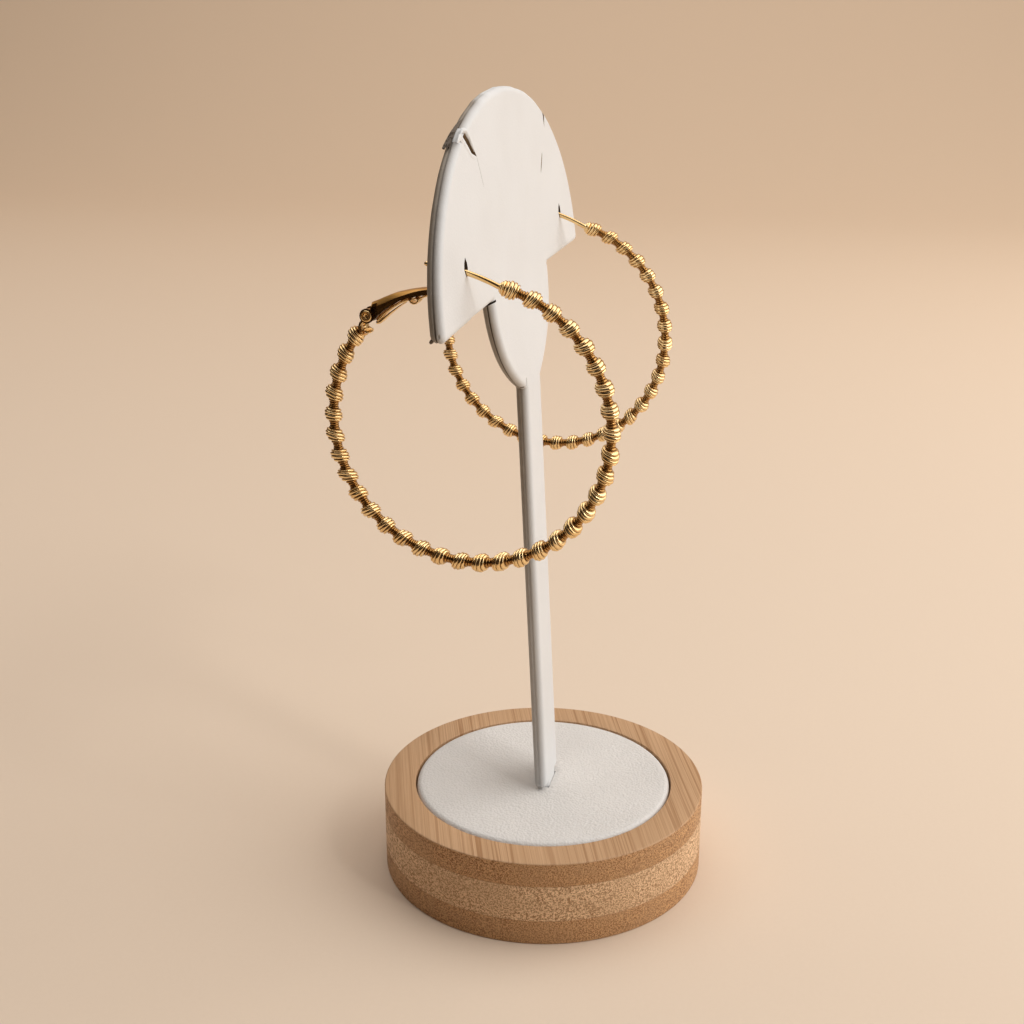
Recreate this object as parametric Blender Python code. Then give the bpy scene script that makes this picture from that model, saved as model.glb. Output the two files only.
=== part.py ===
"""A pair of beaded lever-back hoop earrings on a wrapped display board with a round bamboo base.

Metres, +Z up, the board's front towards -Y.
The origin is the middle of the base's underside.
"""
import math

import bmesh
import bpy
from mathutils import Vector

for old in list(bpy.data.objects):
    bpy.data.objects.remove(old, do_unlink=True)

MM = 0.001
GAP = 0.3 * MM

# Base: three glued bamboo plies and a padded disc let into the top one
BASE_DIAMETER = 80.0 * MM
BOTTOM_PLY = 6.0 * MM
MIDDLE_PLY = 8.8 * MM
TOP_PLY = 5.9 * MM
RIM_WIDTH = 7.8 * MM
PAD_DEPTH = 3.0 * MM
PAD_CROWN = 0.3 * MM
PAD_GROOVE = 0.4 * MM
PAD_EDGE_ROUND = 0.9 * MM
BASE_EDGE_CHAMFER = 0.4 * MM
BASE_SIDES = 72

# Board: one flat piece cut as stem, shoulder and winged panel, leaning back
BOARD_THICKNESS = 3.0 * MM
BOARD_EDGE_ROUND = 1.1 * MM
STEM_WIDTH = 14.5 * MM
STEM_FOOT_ROUND = 3.0 * MM
STEM_FORWARD = 0.8 * MM
STEM_LENGTH = 102.5 * MM
TONGUE_DEPTH = 12.0 * MM
SHOULDER_WIDTH = 55.0 * MM
SHOULDER_RISE = 23.4 * MM
PANEL_WIDTH = 132.6 * MM
PANEL_RISE = 42.2 * MM
PANEL_ROUNDNESS = 2.05
WING_CORNER_RADIUS = 1.7 * MM
STEM_LEAN = math.radians(2.8)
SHOULDER_LEAN = math.radians(6.86)
PANEL_LEAN = math.radians(5.5)
SIDE_CUT_DEPTH = 1.6 * MM
SIDE_CUT_WIDTH = 0.9 * MM

# Notches cut slantwise into the arched edge, for a fine chain
NOTCH_SPREAD = 78.0 * MM
NOTCH_LENGTH = 8.3 * MM
NOTCH_WIDTH = 1.2 * MM
NOTCH_SLOPE = math.radians(27.0)

# Slits that the earring posts pass through
SLIT_SPREAD = 93.0 * MM
SLIT_RISE = 9.2 * MM
SLIT_WIDTH = 1.6 * MM
SLIT_ABOVE_POST = 2.2 * MM
SLIT_BELOW_POST = 1.2 * MM

# Hoop: a ring of beads, open at the top
HOOP_RADIUS = 29.2 * MM
BEAD_COUNT = 34
BEAD_STEP = math.radians(8.69)
FIRST_BEAD = math.radians(70.9)
BEAD_DIAMETER = 3.75 * MM
NECK_DIAMETER = 2.1 * MM
BEAD_SIDES = 12
HOOP_DROP = 31.0 * MM
HOOP_AHEAD = 0.26 * MM
HOOP_YAW = math.radians(-2.2)
HOOP_SWING = {"left": 0.0, "right": math.radians(2.6)}
BEAD_PROFILE = (
    # along the wire as a share of the step, swell from neck to bead
    (-0.36, 0.0),
    (-0.21, 0.84),
    (0.0, 1.0),
    (0.21, 0.84),
    (0.36, 0.0),
)

# Ear post: a plain bent wire that grows out of the first bead
POST_DIAMETER = 0.95 * MM
POST_LENGTH = 15.8 * MM
POST_ROOT_RUN = 3.3 * MM
POST_SLOPE_AT_ROOT = math.radians(25.0)
POST_SLOPE_AT_TIP = math.radians(4.0)
POST_POINTS = 9

# Hinge at the back end of the hoop
PIVOT_BEHIND = 20.7 * MM
PIVOT_ABOVE = 21.7 * MM
HOOP_END_RUN = 2.0 * MM
KNUCKLE_THICKNESS = 1.8 * MM
KNUCKLE_EYE_RADIUS = 1.25 * MM
RIVET_DIAMETER = 0.9 * MM
RIVET_HEAD_DIAMETER = 2.5 * MM
RIVET_HEAD = 0.35 * MM
RIVET_SIDES = 16

# Lever: a folded channel that straddles the knuckle
LEVER_REACH = 16.2 * MM
LEVER_WALL = 0.5 * MM
LEVER_PLATE = 0.9 * MM
LEVER_SHOULDER = 0.8 * MM
LEVER_EAR_RADIUS = 1.5 * MM
LEVER_SOLID_TIP = 2.2 * MM
LEVER_TIP_NOTCH = 1.5 * MM
LEVER_SECTIONS = (
    # reach, top edge and bottom edge, as shares of the lever's reach
    (0.080, 0.184, -0.045),
    (0.180, 0.229, 0.021),
    (0.300, 0.283, 0.107),
    (0.445, 0.327, 0.196),
    (0.595, 0.357, 0.247),
    (0.745, 0.381, 0.301),
    (1.000, 0.402, 0.348),
)
SPRING_THICKNESS = 0.4 * MM
SPRING_SIDE_GAP = 0.4 * MM
SPRING_ROUTE = (
    # reach and height of the leaf's middle, as shares of the lever's reach
    (0.160, -0.060),
    (0.250, 0.033),
    (0.370, 0.122),
    (0.475, 0.178),
    (0.535, 0.203),
    (0.585, 0.184),
    (0.645, 0.223),
    (0.725, 0.268),
    (0.810, 0.315),
)

BASE_HEIGHT = BOTTOM_PLY + GAP + MIDDLE_PLY + GAP + TOP_PLY
BASE_RADIUS = BASE_DIAMETER / 2
PAD_RADIUS = BASE_RADIUS - RIM_WIDTH - PAD_GROOVE
PAD_FLOOR = BASE_HEIGHT - PAD_DEPTH
WING_LEVEL = STEM_LENGTH + SHOULDER_RISE
TONGUE_WIDTH = STEM_WIDTH - 2 * STEM_FOOT_ROUND
STEM_FOOT_LEVEL = PAD_CROWN + GAP
PIVOT = Vector((0.0, PIVOT_BEHIND - HOOP_AHEAD, PIVOT_ABOVE - HOOP_DROP))
LEVER_INSIDE = KNUCKLE_THICKNESS + 2 * GAP
LEVER_WIDTH = LEVER_INSIDE + 2 * LEVER_WALL


def material(name, colour, roughness, metallic=0.0):
    made = bpy.data.materials.new(name)
    made.use_nodes = True
    shader = made.node_tree.nodes["Principled BSDF"]
    shader.inputs["Base Color"].default_value = (*colour, 1.0)
    shader.inputs["Roughness"].default_value = roughness
    shader.inputs["Metallic"].default_value = metallic
    return made


def place(name, mesh, finish, parent=None, location=(0.0, 0.0, 0.0)):
    made = bpy.data.objects.new(name, mesh)
    bpy.context.scene.collection.objects.link(made)
    made.location = location
    if parent:
        made.parent = parent
    if finish:
        mesh.materials.clear()
        mesh.materials.append(finish)
    return made


def mesh_from(bm, name):
    bmesh.ops.remove_doubles(bm, verts=bm.verts, dist=1e-7)
    bmesh.ops.recalc_face_normals(bm, faces=bm.faces)
    mesh = bpy.data.meshes.new(name)
    bm.to_mesh(mesh)
    bm.free()
    return mesh


def turned(name, profile, sides, axis="Z"):
    """Spin a profile of (radius, height) points round an axis through the origin."""
    bm = bmesh.new()
    points = [bm.verts.new((radius, 0.0, height)) for radius, height in profile]
    edges = [bm.edges.new(pair) for pair in zip(points, points[1:])]
    bmesh.ops.spin(bm, geom=points + edges, cent=(0, 0, 0), axis=(0, 0, 1),
                   angle=math.tau, steps=sides, use_merge=True)
    if axis == "X":
        for vert in bm.verts:
            vert.co = Vector((vert.co.z, vert.co.x, vert.co.y))
    return mesh_from(bm, name)


def slab(name, outline, thickness, edge_round=0.0, segments=2, rounded=None):
    """Extrude a flat outline of (across, up) points, half the thickness to each side.

    The outline lies in the XZ plane and its thickness runs along Y.
    Its edges are rounded all round, or only along the outline points listed in rounded.
    """
    bm = bmesh.new()
    face = bm.faces.new([bm.verts.new((x, -thickness / 2, z)) for x, z in outline])
    rim = list(face.edges)
    sheet = bmesh.ops.extrude_face_region(bm, geom=[face], use_keep_orig=True)["geom"]
    far_side = [item for item in sheet if isinstance(item, bmesh.types.BMVert)]
    bmesh.ops.translate(bm, verts=far_side, vec=(0.0, thickness, 0.0))
    if edge_round:
        rim += [item for item in sheet if isinstance(item, bmesh.types.BMEdge)]
        if rounded:
            spots = [Vector((x, 0.0, z)) for x, z in rounded]
            rim = [edge for edge in rim if all(
                any((vert.co - spot).xz.length < 1e-7 for spot in spots) for vert in edge.verts)]
        bmesh.ops.bevel(bm, geom=rim, offset=edge_round, offset_type="OFFSET", affect="EDGES",
                        segments=segments, profile=0.5, material=-1)
    return mesh_from(bm, name)


def side_slab(name, outline, width, *edges):
    """Extrude an outline of (ahead, up) points across X, with ahead towards -Y."""
    mesh = slab(name, outline, width, *edges)
    for vert in mesh.vertices:
        x, y, z = vert.co
        vert.co = (y, -x, z)
    bm = bmesh.new()
    bm.from_mesh(mesh)
    bmesh.ops.recalc_face_normals(bm, faces=bm.faces)
    bm.to_mesh(mesh)
    bm.free()
    return mesh


def guide(name, mesh, location=(0.0, 0.0, 0.0), rotation=(0.0, 0.0, 0.0)):
    """An object that only cuts or joins, and is not a piece of the model."""
    made = place(name, mesh, None, location=location)
    made.rotation_euler = rotation
    made.hide_render = True
    made.display_type = "WIRE"
    return made


def combined(name, mesh, steps):
    """The mesh after each (operation, guide object) of a list, worked out exactly."""
    work = guide(name + "_blank", mesh)
    for operation, tool in steps:
        modifier = work.modifiers.new(operation, "BOOLEAN")
        modifier.operation = operation
        modifier.solver = "EXACT"
        modifier.object = tool
    graph = bpy.context.evaluated_depsgraph_get()
    result = bpy.data.meshes.new_from_object(work.evaluated_get(graph))
    result.name = name
    bpy.data.objects.remove(work)
    return result


def block(name, size):
    bm = bmesh.new()
    bmesh.ops.create_cube(bm, size=1.0)
    bmesh.ops.scale(bm, vec=size, verts=bm.verts)
    return mesh_from(bm, name)


def lean(height):
    """How far back the board's middle plane lies at a height over the base."""
    back = min(height, STEM_LENGTH) * math.tan(STEM_LEAN) - STEM_FORWARD
    back += min(max(height - STEM_LENGTH, 0.0), SHOULDER_RISE) * math.tan(SHOULDER_LEAN)
    return back + max(height - WING_LEVEL, 0.0) * math.tan(PANEL_LEAN)


def bezier(start, pull_start, pull_end, end, steps):
    points = []
    for step in range(steps + 1):
        t = step / steps
        weights = ((1 - t) ** 3, 3 * t * (1 - t) ** 2, 3 * t * t * (1 - t), t ** 3)
        corners = (start, pull_start, pull_end, end)
        points.append(tuple(sum(w * c[i] for w, c in zip(weights, corners)) for i in (0, 1)))
    return points


def arch(angle):
    """A point of the panel's arched edge, as a rounded superellipse."""
    power = 2 / PANEL_ROUNDNESS
    across = PANEL_WIDTH / 2 * math.cos(angle) ** power
    return across, WING_LEVEL + PANEL_RISE * math.sin(angle) ** power


def board_half():
    """Right half of the board's outline, from the tongue's foot to the top of the arch."""
    stem = STEM_WIDTH / 2
    shoulder = SHOULDER_WIDTH / 2
    step_out = shoulder - stem
    points = [(TONGUE_WIDTH / 2, -TONGUE_DEPTH)]
    for step in range(4):
        turn = math.radians(-90 + 30 * step)
        points.append((TONGUE_WIDTH / 2 + STEM_FOOT_ROUND * math.cos(turn),
                       STEM_FOOT_LEVEL + STEM_FOOT_ROUND * (1 + math.sin(turn))))
    points += bezier(
        (stem, STEM_LENGTH),
        (stem + 0.20 * step_out, STEM_LENGTH + 0.085 * SHOULDER_RISE),
        (stem + step_out, STEM_LENGTH + 0.36 * SHOULDER_RISE),
        (shoulder, WING_LEVEL),
        10,
    )
    corner = WING_CORNER_RADIUS
    tip = PANEL_WIDTH / 2
    for step in range(5):
        turn = math.radians(-90 + 22.5 * step)
        points.append((tip - corner + corner * math.cos(turn), WING_LEVEL + corner + corner * math.sin(turn)))
    first = math.asin((2.2 * corner / PANEL_RISE) ** (PANEL_ROUNDNESS / 2))
    for step in range(16):
        points.append(arch(first + (math.pi / 2 - first) * step / 15))
    return points


def build_board(finish):
    half = board_half()
    outline = half + [(-x, z) for x, z in reversed(half[:-1])]
    blank = slab("display_board_flat", outline, BOARD_THICKNESS, BOARD_EDGE_ROUND)
    deep = 3 * BOARD_THICKNESS
    cuts = []
    slit_height = SLIT_ABOVE_POST + SLIT_BELOW_POST
    slit_middle = WING_LEVEL + SLIT_RISE + (SLIT_ABOVE_POST - SLIT_BELOW_POST) / 2
    notch_turn = math.asin((1.0 - (NOTCH_SPREAD / PANEL_WIDTH) ** PANEL_ROUNDNESS) ** 0.5)
    for side in (-1, 1):
        slit = block("slit_cutter", (SLIT_WIDTH, deep, slit_height))
        cuts.append(guide("slit_tool", slit, (side * SLIT_SPREAD / 2, 0.0, slit_middle)))
        side_cut = block("side_cutter", (SIDE_CUT_DEPTH + SHOULDER_WIDTH, deep, SIDE_CUT_WIDTH))
        reach = SHOULDER_WIDTH / 2 - SIDE_CUT_DEPTH + (SIDE_CUT_DEPTH + SHOULDER_WIDTH) / 2
        cuts.append(guide("side_tool", side_cut, (side * reach, 0.0, WING_LEVEL - SIDE_CUT_WIDTH / 2)))
        edge_x, edge_z = arch(notch_turn)
        wedge = slab("notch_cutter", [(-NOTCH_WIDTH, NOTCH_LENGTH), (-NOTCH_WIDTH / 5, -NOTCH_LENGTH),
                                      (NOTCH_WIDTH / 5, -NOTCH_LENGTH), (NOTCH_WIDTH, NOTCH_LENGTH)], deep)
        tilt = side * (math.pi / 2 - NOTCH_SLOPE)
        cuts.append(guide("notch_tool", wedge, (side * edge_x, 0.0, edge_z), (0.0, tilt, 0.0)))
    flat = combined("display_board", blank, [("DIFFERENCE", cut) for cut in cuts])
    bm = bmesh.new()
    bm.from_mesh(flat)
    for bend in (STEM_LENGTH, WING_LEVEL):
        bmesh.ops.bisect_plane(bm, geom=list(bm.verts) + list(bm.edges) + list(bm.faces), dist=1e-6,
                               plane_co=(0.0, 0.0, bend), plane_no=(0.0, 0.0, 1.0))
    bmesh.ops.triangulate(bm, faces=bm.faces)
    for vert in bm.verts:
        vert.co.y += lean(vert.co.z)
        vert.co.z += BASE_HEIGHT
    return place("display_board", mesh_from(bm, "display_board"), finish)


def tongue_socket():
    """The space round the leaning tongue, which the pad and the plies leave free."""
    height = 2 * TONGUE_DEPTH
    socket = block("tongue_socket", (TONGUE_WIDTH + 2 * GAP, BOARD_THICKNESS + 2 * GAP, height))
    for vert in socket.vertices:
        vert.co.y += lean(vert.co.z)
        vert.co.z += BASE_HEIGHT
        if vert.co.z < BASE_HEIGHT:
            vert.co.z -= GAP
    return guide("tongue_socket_tool", socket)


def build_base(wood, leatherette):
    socket = tongue_socket()
    chamfer = BASE_EDGE_CHAMFER
    bottom = turned("base_bottom_ply", [
        (0.0, 0.0), (BASE_RADIUS - chamfer, 0.0), (BASE_RADIUS, chamfer),
        (BASE_RADIUS, BOTTOM_PLY), (0.0, BOTTOM_PLY)], BASE_SIDES)
    place("base_bottom_ply", bottom, wood)
    middle_floor = BOTTOM_PLY + GAP
    middle = turned("base_middle_ply", [
        (0.0, middle_floor), (BASE_RADIUS, middle_floor),
        (BASE_RADIUS, middle_floor + MIDDLE_PLY), (0.0, middle_floor + MIDDLE_PLY)], BASE_SIDES)
    place("base_middle_ply", combined("base_middle_ply", middle, [("DIFFERENCE", socket)]), wood)
    top_floor = middle_floor + MIDDLE_PLY + GAP
    recess = BASE_RADIUS - RIM_WIDTH
    top = turned("base_top_ply", [
        (0.0, top_floor), (BASE_RADIUS, top_floor), (BASE_RADIUS, BASE_HEIGHT - chamfer),
        (BASE_RADIUS - chamfer, BASE_HEIGHT), (recess, BASE_HEIGHT), (recess, PAD_FLOOR),
        (0.0, PAD_FLOOR)], BASE_SIDES)
    place("base_top_ply", combined("base_top_ply", top, [("DIFFERENCE", socket)]), wood)
    round_edge = PAD_EDGE_ROUND
    pad_top = BASE_HEIGHT + PAD_CROWN
    pad = turned("base_pad", [
        (0.0, PAD_FLOOR + GAP), (PAD_RADIUS, PAD_FLOOR + GAP), (PAD_RADIUS, pad_top - round_edge),
        (PAD_RADIUS - 0.3 * round_edge, pad_top - 0.3 * round_edge),
        (PAD_RADIUS - round_edge, pad_top), (0.0, pad_top)], BASE_SIDES)
    place("base_pad", combined("base_pad", pad, [("DIFFERENCE", socket)]), leatherette)


def on_hoop(angle):
    """A point of the hoop's middle line, seen from the post's place in the slit."""
    ahead = HOOP_RADIUS * math.cos(angle) + HOOP_AHEAD
    return Vector((0.0, -ahead, HOOP_RADIUS * math.sin(angle) - HOOP_DROP))


def hoop_stations():
    """Points and radii along the wire: the post's tip, the post, the beads and the hinge end."""
    neck = NECK_DIAMETER / 2
    swell = (BEAD_DIAMETER - NECK_DIAMETER) / 2
    root = on_hoop(FIRST_BEAD + POST_ROOT_RUN / HOOP_RADIUS)
    stations = []
    point = root.copy()
    piece = POST_LENGTH / POST_POINTS
    for step in range(POST_POINTS):
        share = (step + 0.5) / POST_POINTS
        slope = POST_SLOPE_AT_ROOT + (POST_SLOPE_AT_TIP - POST_SLOPE_AT_ROOT) * share
        stations.append((point.copy(), POST_DIAMETER / 2))
        point += Vector((0.0, math.cos(slope), math.sin(slope))) * piece
    stations.append((point, POST_DIAMETER / 2))
    stations.reverse()
    stations.append((on_hoop(FIRST_BEAD + 0.5 * BEAD_STEP), 0.8 * neck))
    for bead in range(BEAD_COUNT):
        middle = FIRST_BEAD - bead * BEAD_STEP
        for along, share in BEAD_PROFILE:
            if bead == 0 and along < -0.3:
                continue
            stations.append((on_hoop(middle - along * BEAD_STEP), neck + swell * share))
    last = FIRST_BEAD - (BEAD_COUNT - 1) * BEAD_STEP
    stations.append((on_hoop(last - HOOP_END_RUN / HOOP_RADIUS), neck))
    return stations


def hoop_wire():
    curve = bpy.data.curves.new("hoop_wire", "CURVE")
    curve.dimensions = "3D"
    curve.bevel_depth = POST_DIAMETER / 2
    curve.bevel_resolution = BEAD_SIDES // 2 - 2
    curve.use_fill_caps = True
    stations = hoop_stations()
    spline = curve.splines.new("POLY")
    spline.points.add(len(stations) - 1)
    for point, (place_at, radius) in zip(spline.points, stations):
        point.co = (*place_at, 1.0)
        point.radius = radius / curve.bevel_depth
    tube = guide("hoop_wire", curve)
    graph = bpy.context.evaluated_depsgraph_get()
    mesh = bpy.data.meshes.new_from_object(tube.evaluated_get(graph))
    bpy.data.objects.remove(tube)
    bm = bmesh.new()
    bm.from_mesh(mesh)
    return mesh_from(bm, "hoop_wire")


def ring(radius, start, end, steps):
    """Points of an arc round the pivot, angles in degrees from straight ahead."""
    angles = [math.radians(start + (end - start) * step / steps) for step in range(steps + 1)]
    return [(radius * math.cos(turn), radius * math.sin(turn)) for turn in angles]


def knuckle_outline():
    """The eye round the pivot and the bent neck that stands in the hoop's end."""
    eye = KNUCKLE_EYE_RADIUS
    last = FIRST_BEAD - (BEAD_COUNT - 1) * BEAD_STEP
    bead_ahead = HOOP_RADIUS * math.cos(last) + PIVOT_BEHIND
    bead_up = HOOP_RADIUS * math.sin(last) - PIVOT_ABOVE
    along = (math.sin(last), -math.cos(last))
    across = (-along[1], along[0])
    depth = 0.5 * HOOP_END_RUN
    root = 0.32 * NECK_DIAMETER
    inner = [(bead_ahead + depth * along[0] + side * root * across[0],
              bead_up + depth * along[1] + side * root * across[1]) for side in (1, -1)]
    neck_back = [(-1.4 * eye, -0.8 * eye), (-1.9 * eye, -1.4 * eye), (-2.2 * eye, -2.1 * eye)]
    toe = [(-0.2 * eye, -3.0 * eye), (0.3 * eye, -2.3 * eye), (-0.25 * eye, -1.7 * eye)]
    return ring(eye, -60, 215, 14) + neck_back + inner + toe


def pivot_hole(name, diameter, length):
    radius = diameter / 2
    half = length / 2
    return turned(name, [(0.0, -half), (radius, -half), (radius, half), (0.0, half)], RIVET_SIDES, "X")


def build_hoop_mesh():
    knuckle = side_slab("knuckle", knuckle_outline(), KNUCKLE_THICKNESS)
    hole = pivot_hole("knuckle_hole", RIVET_DIAMETER + 2 * GAP, 3 * KNUCKLE_THICKNESS)
    return combined("beaded_hoop", hoop_wire(), [
        ("UNION", guide("knuckle_tool", knuckle, PIVOT)),
        ("DIFFERENCE", guide("knuckle_hole_tool", hole, PIVOT)),
    ])


def lever_edge(column):
    return [(row[0] * LEVER_REACH, row[column] * LEVER_REACH) for row in LEVER_SECTIONS]


def build_lever_mesh():
    """A channel open below: two side walls with round ears, a top plate and a notched tip."""
    top = lever_edge(1)
    bottom = lever_edge(2)
    ears = ring(LEVER_EAR_RADIUS, -50, -295, 12)
    outline = ears + top + list(reversed(bottom))
    body = side_slab("lever_body", outline, LEVER_WIDTH, LEVER_SHOULDER, 1, top)
    ceiling = [(ahead + 0.3 * LEVER_PLATE, up - LEVER_PLATE) for ahead, up in top]
    stop = LEVER_REACH - LEVER_SOLID_TIP
    ceiling = [point for point in ceiling if point[0] < stop]
    far = 2 * LEVER_EAR_RADIUS
    level = ceiling[-1][1] + (stop - ceiling[-1][0]) * 0.08
    hollow = [(-far, -far), (-far, far), (0.55 * LEVER_EAR_RADIUS, far * 0.8)] + ceiling
    hollow += [(stop, level), (stop, -far)]
    channel = side_slab("lever_channel", hollow, LEVER_INSIDE)
    hole = pivot_hole("lever_hole", RIVET_DIAMETER + 2 * GAP, 2 * LEVER_WIDTH)
    notch = block("lever_notch", (POST_DIAMETER + GAP, 2 * LEVER_TIP_NOTCH, LEVER_REACH))
    return combined("lever", body, [
        ("DIFFERENCE", guide("channel_tool", channel)),
        ("DIFFERENCE", guide("lever_hole_tool", hole)),
        ("DIFFERENCE", guide("lever_notch_tool", notch, (0.0, -LEVER_REACH, 0.0))),
    ])


def build_spring_mesh():
    """The leaf under the lever, a strip of even thickness along its route."""
    route = [Vector((ahead * LEVER_REACH, up * LEVER_REACH)) for ahead, up in SPRING_ROUTE]
    upper, lower = [], []
    for index, point in enumerate(route):
        before = route[max(index - 1, 0)]
        after = route[min(index + 1, len(route) - 1)]
        run = (after - before).normalized()
        away = Vector((-run.y, run.x)) * SPRING_THICKNESS / 2
        upper.append(tuple(point + away))
        lower.append(tuple(point - away))
    return side_slab("lever_spring", upper + lower[::-1], LEVER_INSIDE - 2 * SPRING_SIDE_GAP)


def build_rivet_mesh():
    """A shaft with a flat head outside each ear of the lever."""
    shaft = RIVET_DIAMETER / 2
    head = RIVET_HEAD_DIAMETER / 2
    inner = LEVER_WIDTH / 2 + GAP
    outer = inner + RIVET_HEAD
    return turned("hinge_rivet", [
        (0.0, -outer), (head, -outer), (head, -inner), (shaft, -inner),
        (shaft, inner), (head, inner), (head, outer), (0.0, outer)], RIVET_SIDES, "X")


def build_earrings(gold, polished):
    """Both earrings: each hangs from its slit on an empty at the post's place in the board."""
    hoop = build_hoop_mesh()
    lever = build_lever_mesh()
    spring = build_spring_mesh()
    rivet = build_rivet_mesh()
    level = WING_LEVEL + SLIT_RISE
    front = lean(level) - BOARD_THICKNESS / 2
    for side, name in ((-1, "left"), (1, "right")):
        hanger = bpy.data.objects.new(name + "_hanger", None)
        bpy.context.scene.collection.objects.link(hanger)
        hanger.location = (side * SLIT_SPREAD / 2, front, BASE_HEIGHT + level)
        hanger.rotation_euler = (HOOP_SWING[name], 0.0, HOOP_YAW)
        place(name + "_beaded_hoop", hoop.copy(), gold, hanger)
        place(name + "_lever", lever.copy(), polished, hanger, PIVOT)
        place(name + "_lever_spring", spring.copy(), polished, hanger, PIVOT)
        place(name + "_hinge_rivet", rivet.copy(), polished, hanger, PIVOT)


bamboo = material("bamboo", (0.55, 0.33, 0.16), 0.55)
pad_leatherette = material("pad_leatherette", (0.68, 0.65, 0.60), 0.6)
board_leatherette = material("board_leatherette", (0.80, 0.76, 0.70), 0.5)
gold_beads = material("gold_beads", (0.86, 0.58, 0.24), 0.22, 1.0)
gold_polished = material("gold_polished", (0.80, 0.52, 0.20), 0.15, 1.0)

build_base(bamboo, pad_leatherette)
build_board(board_leatherette)
build_earrings(gold_beads, gold_polished)
for piece in bpy.data.objects:
    if piece.type == "MESH" and not piece.hide_render:
        piece.data.shade_smooth()
        piece.data.set_sharp_from_angle(angle=math.radians(35))
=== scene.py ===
"""Beaded lever-back hoop earrings on a leatherette display board with a bamboo base."""
import math

import bmesh
import bpy
from mathutils import Matrix, Vector, noise


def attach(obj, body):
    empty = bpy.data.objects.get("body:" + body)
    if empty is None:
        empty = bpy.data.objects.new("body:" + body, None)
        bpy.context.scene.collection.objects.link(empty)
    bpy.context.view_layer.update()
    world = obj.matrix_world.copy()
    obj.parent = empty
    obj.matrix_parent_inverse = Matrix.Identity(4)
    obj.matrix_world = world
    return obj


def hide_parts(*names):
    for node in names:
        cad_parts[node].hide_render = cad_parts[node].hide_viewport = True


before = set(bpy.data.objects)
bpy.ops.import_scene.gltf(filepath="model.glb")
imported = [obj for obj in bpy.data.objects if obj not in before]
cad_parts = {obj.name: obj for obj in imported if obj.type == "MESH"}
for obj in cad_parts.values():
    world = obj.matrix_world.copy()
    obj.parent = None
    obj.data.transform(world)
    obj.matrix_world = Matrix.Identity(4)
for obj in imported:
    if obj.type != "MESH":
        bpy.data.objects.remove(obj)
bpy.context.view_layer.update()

MM = 0.001
STAND = "stand_and_hoops"

# Base, as the solids have it
BASE_RADIUS = 40.0 * MM
BOTTOM_PLY = 6.0 * MM
MIDDLE_PLY = 8.8 * MM
TOP_PLY = 5.9 * MM
GLUE_LINE = 0.3 * MM
BASE_HEIGHT = BOTTOM_PLY + MIDDLE_PLY + TOP_PLY + 2 * GLUE_LINE
RECESS_RADIUS = 32.2 * MM
PAD_RADIUS = 31.8 * MM
PAD_FLOOR = BASE_HEIGHT - 3.0 * MM
PAD_CROWN = 0.3 * MM
GRAIN_TURN = math.radians(18.7)
PLY_GAP = 0.02 * MM

# Board, whose foot has tighter corners and whose wings stand less level than in the solids
THICKNESS = 3.0 * MM
STEM_HALF = 7.25 * MM
STEM_FOOT_ROUND = 1.7 * MM
STEM_FOOT_LEVEL = 0.6 * MM
TONGUE_HALF = STEM_HALF - 3.0 * MM
STEM_FORWARD = 0.8 * MM
STEM_LENGTH = 102.5 * MM
TONGUE = 12.0 * MM
SHOULDER_HALF = 27.5 * MM
SHOULDER_RISE = 23.4 * MM
WING_LEVEL = STEM_LENGTH + SHOULDER_RISE
PANEL_HALF = 66.3 * MM
PANEL_RISE = 42.2 * MM
PANEL_ROUNDNESS = 2.05
WING_CORNER = 1.7 * MM
WING_TILT = {-1: -1.2 * MM, 1: 0.15 * MM}
STEM_LEAN = math.radians(2.8)
SHOULDER_LEAN = math.radians(6.86)
PANEL_LEAN = math.radians(5.5)
SLIT_AT = 46.5 * MM
SLIT_LEVEL = WING_LEVEL + 9.2 * MM
NOTCH_AT = 39.0 * MM
NOTCH_SLOPE = math.radians(27.0)
EDGE_ROUND = 1.35 * MM
SEAM_DEPTH = 0.2 * MM
SIDE_CUT_DEPTH = 1.6 * MM
SIDE_CUT_WIDTH = 0.42 * MM
SIDE_CUT_TURN = math.radians(-24.0)

# Places of the board's materials: the core's, and that of the near-black painted shadow inside slits and
# side cuts
CORE_PLACE, GAP_SHADOW_PLACE = 1, 2

# Hoops
HOOP_RADIUS = 29.2 * MM
BEADS = 34
BEAD_STEP = math.radians(8.69)
FIRST_BEAD = math.radians(70.9)
HOOP_DROP = 31.0 * MM
HOOP_AHEAD = 0.26 * MM
HOOP_YAW = math.radians(-2.2)
HOOP_SWING = {"left": 0.0, "right": math.radians(2.6)}
POST_RADIUS = 0.55 * MM
POST_LENGTH = 15.8 * MM
POST_ROOT_RUN = 3.3 * MM

# Hinge and lever
PIVOT = Vector((0.0, 20.7 * MM - HOOP_AHEAD, 21.7 * MM - HOOP_DROP))
KNUCKLE_THICKNESS = 1.8 * MM
LEVER_INSIDE = 2.4 * MM
LEVER_WALL = 0.5 * MM
LEVER_HALF = LEVER_INSIDE / 2 + LEVER_WALL


def lean(height):
    """How far back the board's middle plane lies at a height over the base."""
    back = min(height, STEM_LENGTH) * math.tan(STEM_LEAN) - STEM_FORWARD
    back += min(max(height - STEM_LENGTH, 0.0), SHOULDER_RISE) * math.tan(SHOULDER_LEAN)
    return back + max(height - WING_LEVEL, 0.0) * math.tan(PANEL_LEAN)


# The materials

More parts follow.
